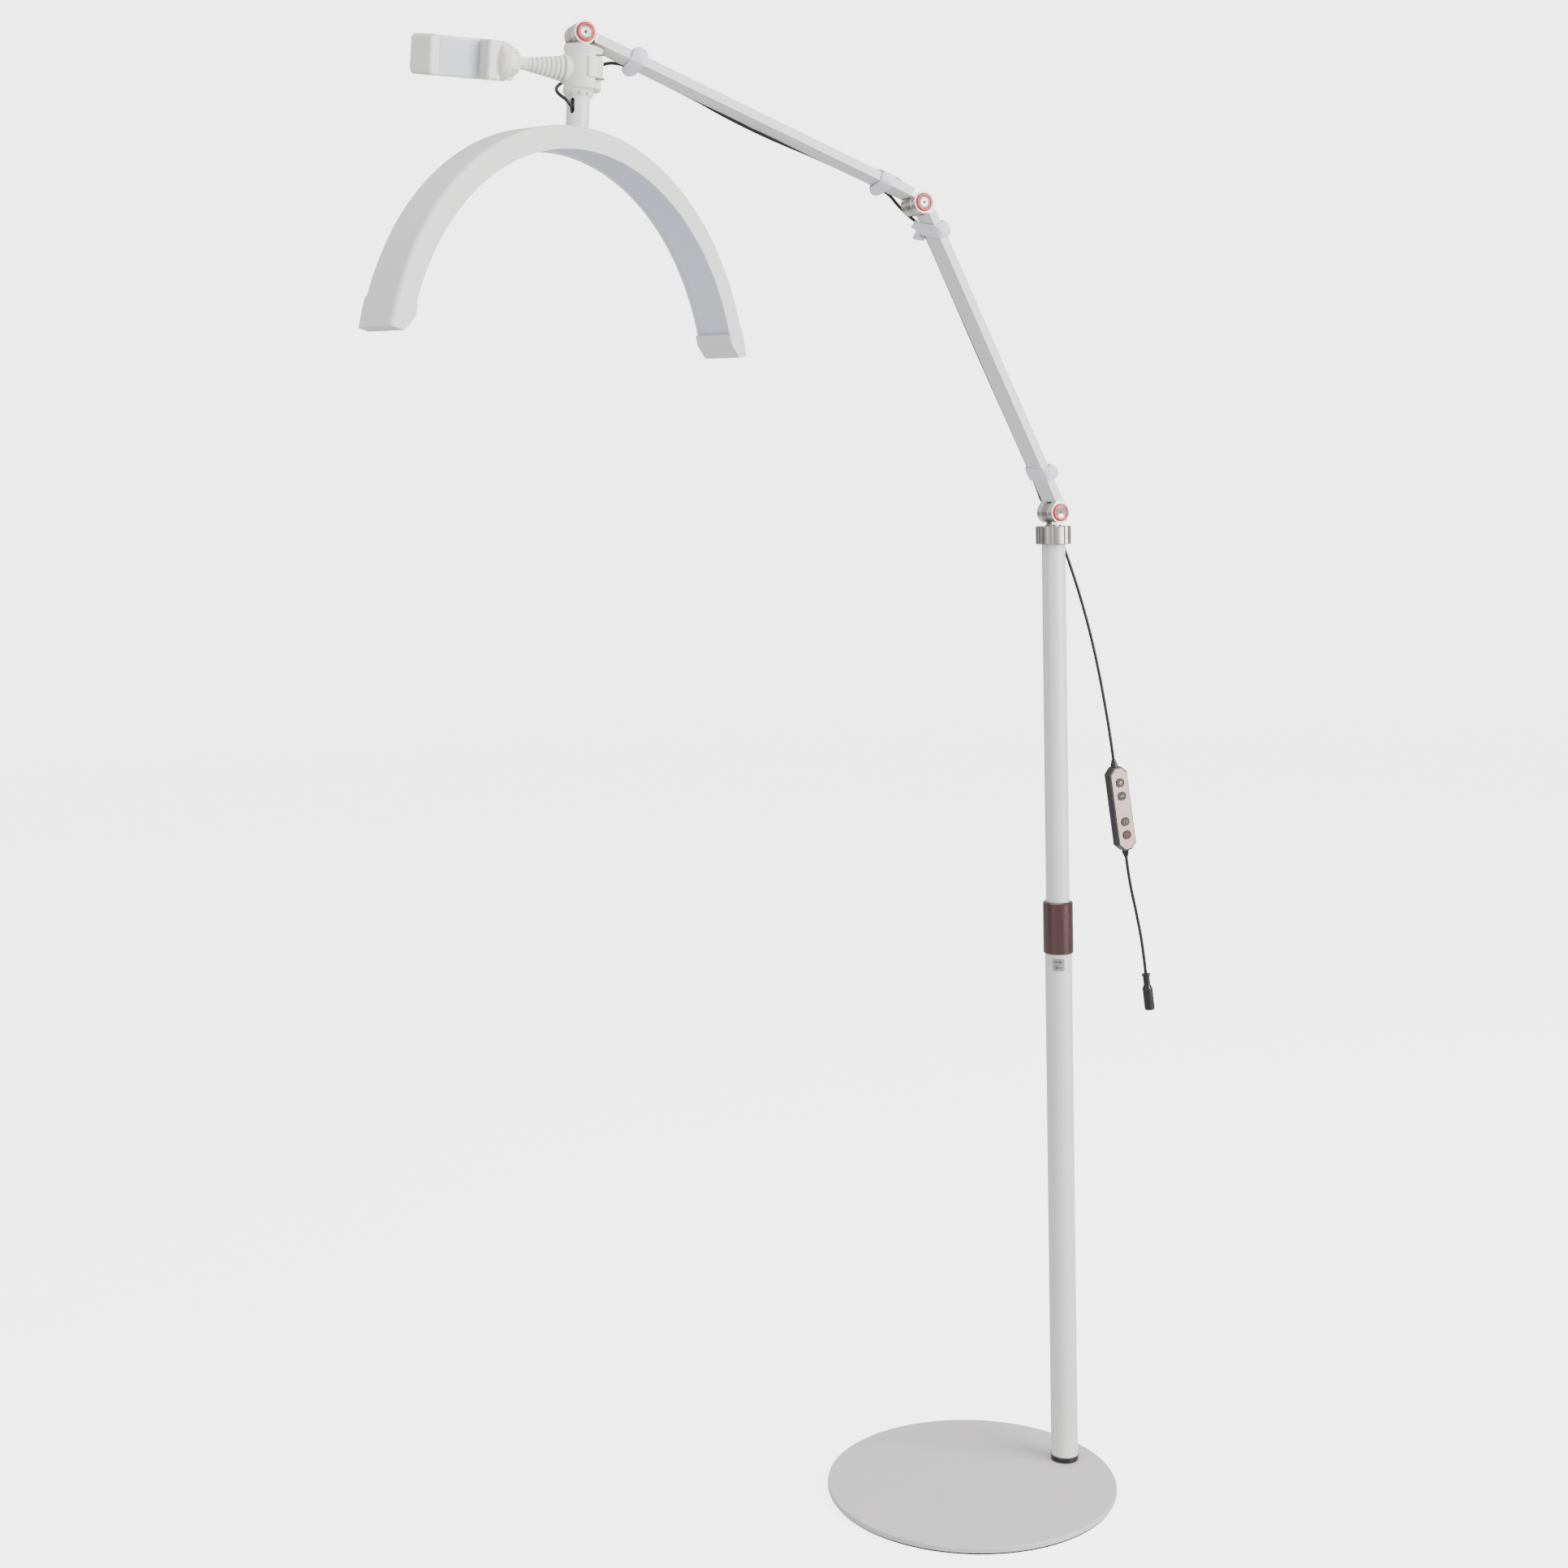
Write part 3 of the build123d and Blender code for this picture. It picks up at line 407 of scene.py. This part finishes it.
# ---- Cables ------------------------------------------------------------------------------
def cable_curve(name, points, diameter=CABLE_DIAMETER):
    """Round cable on a smooth NURBS line with the given control points."""
    curve = bpy.data.curves.new(name, "CURVE")
    curve.dimensions = "3D"
    curve.bevel_depth = diameter / 2 * MM
    curve.bevel_resolution = 8
    curve.resolution_u = 24
    curve.use_fill_caps = True
    spline = curve.splines.new("NURBS")
    spline.points.add(len(points) - 1)
    for point, co in zip(spline.points, points):
        point.co = (*co, 1)
    spline.order_u = 3
    spline.use_endpoint_u = True
    return dress(link(name, curve), "cable_black")


def as_mesh(obj):
    """The same piece as a mesh."""
    bpy.context.view_layer.update()
    mesh = bpy.data.meshes.new_from_object(obj.evaluated_get(bpy.context.evaluated_depsgraph_get()))
    name = obj.name
    bpy.data.objects.remove(obj)
    piece = link(name, mesh)
    mesh.shade_smooth()
    return dress(piece, "cable_black")


# The free lead in metres, from its last touch on the arm to the control and on to the socket.
LEAD_UPPER = [(0.149, 0.0245, 1.136), (0.1565, 0.0235, 1.116), (0.166, 0.0205, 1.088), (0.177, 0.016, 1.05),
              (0.188, 0.0115, 1.005), (0.1973, 0.0075, 0.957), (0.2048, 0.0046, 0.91)]
LEAD_LOWER = [(0.2365, 0.002, 0.69), (0.244, 0.0005, 0.655), (0.25, -0.0015, 0.62),
              (0.2535, -0.0025, 0.585)]
CONTROL_CENTRE = Vector((0.222, 0.003, 0.79))
# In millimetres: from the control's centre to the end of a strain relief, and the lead's straight
# runs above and below the reliefs.
CONTROL_REACH = 60.0
STRAIGHT_ABOVE = 24
STRAIGHT_BELOW = 20


def free_lead():
    """The hanging lead in two lengths, with the inline control between them."""
    axis = CONTROL.to_3x3() @ Vector((0, 0, 1))
    top = CONTROL_CENTRE + axis * CONTROL_REACH * MM
    bottom = CONTROL_CENTRE - axis * CONTROL_REACH * MM
    upper = cable_curve("free_lead_upper", LEAD_UPPER + [top + axis * STRAIGHT_ABOVE * MM, top])
    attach(upper, "swivel")
    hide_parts("lead_upper")
    lower = cable_curve("free_lead_lower", [bottom, bottom - axis * STRAIGHT_BELOW * MM] + LEAD_LOWER)
    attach(lower, "swivel")
    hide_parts("lead_lower")


def arm_cable(name, node, body, place, offset, start, end, sag):
    """The cable along the far side of one arm: straight at both ends and sagging between them."""
    x = offset - CABLE_INSET
    half = (start + end) / 2
    straight = 60
    points = [(x, CABLE_SIDE, start), (x, CABLE_SIDE, start + straight),
              (x - sag, CABLE_SIDE, half - 25), (x - sag, CABLE_SIDE, half + 35),
              (x, CABLE_SIDE, end - straight), (x, CABLE_SIDE, end)]
    piece = cable_curve(name, [at(place, p) for p in points])
    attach(piece, body)
    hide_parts(node)


def tied_cables():
    """The supply cable: tied along both arms, and free past the shoulder, the elbow and the sleeve.

    A free stretch starts straight on from the tied one. At the shoulder and the elbow it swings
    outwards to clear the knuckle; at the head it passes behind the sleeve and into the stem's slot.
    """
    low_x = BAR_OFFSET - CABLE_INSET
    up_x = -CABLE_INSET
    straight_on = 28
    leaving = TIED_FROM - straight_on
    past_knuckle = CABLE_SIDE + 5.4
    lower_end = LOWER_ARM_LENGTH - LOWER_TIED_STOP
    upper_end = UPPER_ARM_LENGTH - UPPER_TIED_STOP
    arm_cable("cable_on_lower_arm", "lower_arm_cable", "lower_arm", LOWER_ARM, BAR_OFFSET,
              TIED_FROM, lower_end, 0.6)
    arm_cable("cable_on_upper_arm", "upper_arm_cable", "upper_arm", UPPER_BAR, 0,
              TIED_FROM, upper_end, 4)

    over_elbow = [at(UPPER_BAR, (up_x, CABLE_SIDE, TIED_FROM)),
                  at(UPPER_BAR, (up_x, CABLE_SIDE, leaving)),
                  at(UPPER_LINE, (-4.5, past_knuckle, 12)),
                  at(LOWER_ARM, (-4, CABLE_SIDE + 5.8, LOWER_ARM_LENGTH - 10)),
                  at(LOWER_ARM, (low_x, CABLE_SIDE + 1, lower_end + 25)),
                  at(LOWER_ARM, (low_x, CABLE_SIDE, lower_end))]
    piece = as_mesh(cable_curve("cable_at_elbow", over_elbow))
    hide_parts("elbow_cable")
    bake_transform(piece)

    lead_start = Vector(LEAD_UPPER[0])
    past_shoulder = [at(LOWER_ARM, (low_x, CABLE_SIDE, TIED_FROM)),
                     at(LOWER_ARM, (low_x, CABLE_SIDE, leaving)),
                     at(LOWER_ARM, (4, past_knuckle, 12)),
                     lead_start * 2 - Vector(LEAD_UPPER[1]), lead_start]
    piece = as_mesh(cable_curve("cable_at_shoulder", past_shoulder))
    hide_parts("shoulder_cable")
    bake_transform(piece)

    to_sleeve = [at(UPPER_BAR, (up_x, CABLE_SIDE, upper_end)),
                 at(UPPER_BAR, (up_x, CABLE_SIDE, upper_end + 32)),
                 at(HEAD, (22, 24.5, -33)), at(HEAD, (5, 26.5, -40)), at(HEAD, (-3.5, 24.2, -44.5))]
    piece = as_mesh(cable_curve("cable_behind_sleeve", to_sleeve))
    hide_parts("head_cable")
    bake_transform(piece)

    into_stem = [at(HEAD, p) for p in
                 [(-3.5, 24.2, -44.5), (-12, 22, -49), (-22.5, 10.5, -57.5), (-24.5, -3, -66),
                  (-18.6, -12.8, -73), (-10.7, -9.0, -79), (-3.8, -3.2, -82)]]
    piece = as_mesh(cable_curve("cable_into_stem", into_stem))
    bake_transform(piece)


# ---- Ties round the arm ------------------------------------------------------------------
def smooth_path(points, steps=10):
    """Points of a Catmull-Rom curve through the given (x, y, z) points."""
    ends = [points[0] * 2 - points[1]] + points + [points[-1] * 2 - points[-2]]
    path = []
    for a, b, c, d in zip(ends, ends[1:], ends[2:], ends[3:]):
        for k in range(steps):
            t = k / steps
            path.append((b * 2 + (c - a) * t + (a * 2 - b * 5 + c * 4 - d) * t ** 2
                         + (b * 3 - a - c * 3 + d) * t ** 3) / 2)
    return path + [points[-1]]


def band(name, route, place, width=TIE_WIDTH, lean=0.0, tongue=7.0, across=(0, 0, 1)):
    """A soft flat tie that follows (x, y, z) points, with a rounded tongue at each end.

    Where the route stands off the arm, the tie's two edges curl back towards it.
    """
    across = Vector(across)
    path = smooth_path([Vector(p) for p in route])
    lengths = [0.0]
    for a, b in zip(path, path[1:]):
        lengths.append(lengths[-1] + (b - a).length)
    columns = 11
    points = []
    for here, run in zip(path, lengths):
        from_end = min(run, lengths[-1] - run)
        inside = min(1, max(0.02, from_end / tongue))
        half = width / 2 * sqrt(1 - (1 - inside) ** 2)
        bulge = Vector((here.x - max(-TIE_SNUG.x, min(TIE_SNUG.x, here.x)),
                        here.y - max(-TIE_SNUG.y, min(TIE_SNUG.y, here.y)), 0))
        for k in range(columns):
            t = 2 * k / (columns - 1) - 1
            side = across * half * t - bulge * TIE_CROWN * t * t
            points.append(at(place, here + side + Vector((0, 0, lean * here.y))))
    obj = mesh_piece(name, points, grid_faces(len(path), columns))
    solid = obj.modifiers.new("thickness", "SOLIDIFY")
    solid.thickness = TIE_THICKNESS * MM
    solid.offset = 0
    bevel(obj, TIE_THICKNESS * 0.35, 2)
    return dress(obj, "strap_clear")


def ties():
    """Four ties and the loose end of the one above the elbow.

    Each tie passes the bar's wide upper and lower faces, its narrow near face and the cable on the far
    side. Its route is in millimetres about the bar's middle: x upwards, y to the far side, z along it.
    """
    lower_near = [(6.8, 12, 0), (7.6, 0, 0), (12.2, -11, 0), (11.8, -19.4, 0), (4.5, -20.6, 0),
                  (-4.4, -16.8, 0), (-6.2, -8, 0), (-6.1, 6, 0), (-6.8, 17, 0), (-4.6, 21.2, 0),
                  (0.5, 22.0, 0), (5.2, 20.6, 0), (6.4, 14, 0), (6.0, 2, 0)]
    lower_elbow = [(-9.4, 29, 6), (-8.0, 24, 5), (-6.8, 14, 3), (-6.4, 0, 2), (-6.8, -12, 1),
                   (-3.4, -18.8, 0), (5.0, -20.4, 0), (11.4, -16.8, 0), (9.8, -7, 0), (6.8, 4, 0),
                   (6.4, 15, 0), (4.6, 21.2, 0), (-1.0, 22.6, -1), (-7.4, 22.8, -3),
                   (-10.8, 26.5, -5), (-12.4, 31, -7)]
    upper_elbow = [(6.6, 8, 0), (6.4, 0, 0), (6.8, -8, 0), (6.9, -15.6, 0), (2, -18.0, 0),
                   (-4.2, -17.0, 0), (-7.4, -10, 0), (-10.2, 4, 0), (-13.2, 16, 0), (-10.0, 22.4, 0),
                   (0, 22.8, 0), (5.4, 20.4, 0), (6.2, 12, 0), (6.2, 0, 0)]
    upper_wrist = [(6.4, 12, 0), (7.6, -2, 0), (11.4, -11.8, 0), (9.8, -19.2, 0), (2.0, -19.8, 0),
                   (-5.2, -15.4, 0), (-7.0, -6, 0), (-9.4, 6, 0), (-12.6, 16, 0), (-10.0, 22.4, 0),
                   (-1.0, 22.8, 0), (5.4, 20.8, 0), (6.2, 12, 0), (6.0, 2, 0)]
    loose_end = [(7.9, -7, -18), (8.9, -7.5, -8), (8.8, -8, 4), (8.1, -8, 14)]

    shoulder_place = LOWER_ARM @ Matrix.Translation(Vector((BAR_OFFSET, 0, LOWER_TIES[0])) * MM)
    elbow_place = LOWER_ARM @ Matrix.Translation(Vector((BAR_OFFSET, 0, LOWER_TIES[1])) * MM)
    above_place = UPPER_BAR @ Matrix.Translation((0, 0, UPPER_TIES[0] * MM))
    wrist_place = UPPER_BAR @ Matrix.Translation((0, 0, UPPER_TIES[1] * MM))
    first = band("tie_above_shoulder", lower_near, shoulder_place, lean=0.10)
    second = band("tie_below_elbow", lower_elbow, elbow_place, lean=0.16)
    third = band("tie_above_elbow", upper_elbow, above_place, lean=-0.12)
    fourth = band("tie_near_wrist", upper_wrist, wrist_place, lean=-0.10)
    tail = band("tie_tail_above_elbow", loose_end, above_place, width=11, tongue=5, across=(0, 1, 0))
    riders = ((first, "lower_arm"), (second, "lower_arm"),
              (third, "upper_arm"), (fourth, "upper_arm"), (tail, "upper_arm"))
    for piece, body in riders:
        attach(piece, body)
    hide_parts("lower_arm_straps")
    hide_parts("upper_arm_straps")


# ---- Screw faces of the knuckles ---------------------------------------------------------
def knuckle_face(name, centre, body, plain_cone=False):
    """Red ring and dished screw on the face of a knuckle that looks towards -Y.

    The outlines are (radius, height above the face); the cup is stepped or a plain cone.
    """
    face_centre = centre + Vector((0, -CHEEK_FACE * MM, 0))
    outwards = frame_at(face_centre, (0, -1, 0), (0, 0, 1))
    ring_outline = [(6.6, -0.1), (10.2, -0.1), (10.6, 0.5), (10.4, 1.3),
                    (9.5, 1.85), (8.4, 2.0), (7.4, 1.85), (6.8, 1.4)]
    ring = lathe(f"{name}_red_ring", ring_outline, outwards)
    dress(ring, "ring_red")
    rim = [(0.0, -0.2), (6.9, -0.2), (6.9, 1.45), (6.5, 1.6)]
    steps = [(6.1, 1.45), (5.7, 1.1), (5.2, 1.0), (4.8, 1.2), (4.4, 1.2), (4.1, 0.85),
             (3.2, 0.78), (3.0, 1.0), (2.5, 1.0), (2.2, 0.8), (2.1, 0.48), (0.0, 0.48)]
    cone = [(6.2, 1.45), (1.6, 0.52), (1.5, 0.48), (0.0, 0.48)]
    cup = lathe(f"{name}_screw_cup", rim + (cone if plain_cone else steps), outwards)
    dress(cup, "knuckle_nickel")
    # A flat black hexagon just proud of the cup's middle stands in for the screw's hex socket: painted shade of
    # the recess.
    key_radius = 1.9
    hexagon = [(key_radius * cos(k * pi / 3), key_radius * sin(k * pi / 3)) for k in range(6)]
    socket = slabs(f"{name}_hex_socket_painted_shade", [hexagon], -0.62, -0.3, frame_at(face_centre, (0, 0, 1)))
    dress(socket, "control_plastic")
    for piece in (ring, cup, socket):
        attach(piece, body)


# ---- Marks on the buttons and the label --------------------------------------------------
def bar(x, z, width, height):
    """Rectangle outline about a centre."""
    return [(x - width / 2, z - height / 2), (x + width / 2, z - height / 2),
            (x + width / 2, z + height / 2), (x - width / 2, z + height / 2)]


def arc_strip(radius, width, start, end, steps=28):
    """Outline of a flat ring or part of one."""
    turns = [radians(start + (end - start) * k / steps) for k in range(steps + 1)]
    outer = [((radius + width / 2) * cos(t), (radius + width / 2) * sin(t)) for t in turns]
    inner = [((radius - width / 2) * cos(t), (radius - width / 2) * sin(t)) for t in reversed(turns)]
    return outer + inner


def button_marks():
    """Raised signs on the four buttons: plus, minus, a mode mark and a power ring."""
    marks = {
        "plus_button": ("mark_yellow", [bar(0, 0, 4.6, 0.8), bar(0, 0, 0.8, 4.6)]),
        "minus_button": ("mark_yellow", [bar(0, 0, 4.4, 0.8)]),
        "mode_button": ("mark_dim", [bar(-1.9, 0, 0.6, 4.2), bar(1.9, 0, 0.6, 4.2),
                                     bar(-1.3, 1.8, 1.0, 0.6), bar(1.3, -1.8, 1.0, 0.6),
                                     bar(0, 0, 0.9, 0.9)]),
        "power_button": ("mark_red", [arc_strip(2.1, 0.6, 125, 415), bar(0, 1.7, 0.6, 2.2)]),
    }
    turn = CONTROL.to_3x3().to_4x4()
    for button, (colour, outlines) in marks.items():
        low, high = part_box(button)
        place = Matrix.Translation(((low.x + high.x) / 2, low.y, (low.z + high.z) / 2)) @ turn
        mark = slabs(f"{button}_mark", outlines, -0.12, 0.2, place)
        dress(mark, colour)
        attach(mark, f"{button}_cap")


LABEL_THICKNESS = 0.08
LABEL_FACING = -122.0
LABEL_BELOW_COLLAR = 12


def curved_patch(name, centre, columns, radius, facing, proud):
    """A thin sheet wrapped round an upright tube, from (x, low, high) columns; facing is its azimuth."""
    outer = radius + proud
    points = []
    for x, low, high in columns:
        turn = radians(facing) + x / radius
        for z in (low, high):
            points.append(centre + Vector((outer * cos(turn), outer * sin(turn), z)) * MM)
    obj = mesh_piece(name, points, grid_faces(len(columns), 2), smooth=False)
    solid = obj.modifiers.new("thickness", "SOLIDIFY")
    solid.thickness = LABEL_THICKNESS * MM
    solid.offset = 0
    return obj


def turn_label():
    """Small label under the height collar with two plain turn arrows in place of print."""
    tube_low, tube_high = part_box("lower_tube")
    collar_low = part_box("height_collar")[0]
    radius = (tube_high.x - tube_low.x) / 2 / MM
    centre = Vector(((tube_low.x + tube_high.x) / 2, 0, collar_low.z - LABEL_BELOW_COLLAR * MM))
    half_width, half_height, corner = 7.0, 7.5, 1.5
    steps = 28
    columns = []
    for k in range(steps + 1):
        x = half_width * (2 * k / steps - 1)
        inset = max(0, abs(x) - (half_width - corner))
        z = half_height - corner + sqrt(corner ** 2 - inset ** 2)
        columns.append((x, -z, z))
    plate = curved_patch("turn_label", centre, columns, radius, LABEL_FACING, 0.16)
    dress(plate, "label_grey")
    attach(plate, "stand")
    # An arrow is a row of (x, half height) columns: an even shaft and a head that comes to a point.
    shaft = [(-4.8 + 0.5 * k, 0.7) for k in range(12)]
    head = [(0.8 + 0.4 * k, 2.4 * (1 - k / 10) + 0.02) for k in range(11)]
    for k, (z, way) in enumerate(((3.4, 1), (-3.4, -1))):
        arrow = sorted((way * x, z - half, z + half) for x, half in shaft + head)
        mark = curved_patch(f"turn_label_arrow_{k}", centre, arrow, radius, LABEL_FACING, 0.26)
        dress(mark, "label_mark")
        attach(mark, "stand")


# ---- Phone clip --------------------------------------------------------------------------
def clip_details():
    """Smooth plate that the phone's back rests on, and the wire spring inside the housing."""
    plate_middle = 67
    outline = rounded(52, 37, 3.0)
    plate = slabs("clip_back_plate", [[(x + plate_middle, z) for x, z in outline]], 8.9, 9.7, CLIP)
    bevel(plate, 0.4)
    dress(plate, "diffuser_opal")
    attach(plate, "clip")
    turns, steps = 12, 20
    start, length, depth, radius, wire = 34.8, 26.6, -5.2, 2.6, 0.9
    coil = [at(CLIP, (start + length * k / (turns * steps), depth + radius * cos(2 * pi * k / steps),
                      radius * sin(2 * pi * k / steps))) for k in range(turns * steps + 1)]
    spring = cable_curve("clip_wire_spring", coil, wire)
    dress(spring, "screw_steel")
    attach(spring, "clip")
    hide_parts("clip_spring")


# ---- Studio ------------------------------------------------------------------------------
def floor():
    """Pale round studio: a floor that curves up into a wall on every side."""
    reach, bend, height, turns = 9.0, 1.6, 7.0, 72
    profile = [(0.01, 0.0), (reach - bend, 0.0)]
    for angle in range(6, 91, 6):
        turn = radians(angle)
        profile.append((reach - bend + bend * sin(turn), bend - bend * cos(turn)))
    profile.append((reach, height))
    points = []
    for k in range(turns):
        turn = 2 * pi * k / turns
        points += [Vector((r * cos(turn), r * sin(turn), z)) for r, z in profile]
    studio_floor = mesh_piece("studio_floor", points, grid_faces(turns, len(profile), close_rows=True))
    studio_floor.data.materials.append(finishes["studio_floor"])
    for kind in ("diffuse", "glossy", "shadow"):
        setattr(studio_floor, f"visible_{kind}", False)


def flags():
    """Dark cards out of the picture; only the polished metal shows them, as darker bands."""
    distance = 3
    cards = {
        "flag_left": (172, 1.5, 0.2, 3.0),
        "flag_back": (106, 1.8, 0.1, 1.35),
        "flag_right": (-12, 1.1, 0.2, 3.0),
    }
    for name, (azimuth, width, bottom, top) in cards.items():
        turn = radians(azimuth)
        out, side = Vector((cos(turn), sin(turn), 0)), Vector((-sin(turn), cos(turn), 0))
        corners = [out * distance + side * width * (u - 0.5) + Vector((0, 0, z))
                   for u, z in ((0, bottom), (1, bottom), (1, top), (0, top))]
        card = mesh_piece(name, corners, [(0, 1, 2, 3)], smooth=False)
        card.data.materials.append(finishes["flag_black"])
        for kind in ("camera", "diffuse", "transmission", "shadow"):
            setattr(card, f"visible_{kind}", False)


camera()
make_finishes()
free_lead()
tied_cables()
dress_cad()
ties()
knuckle_face("shoulder", SHOULDER, "lower_arm", plain_cone=True)
knuckle_face("elbow", ELBOW, "lower_arm")
knuckle_face("wrist", WRIST, "head_bracket")
button_marks()
turn_label()
clip_details()
floor()
flags()
studio()
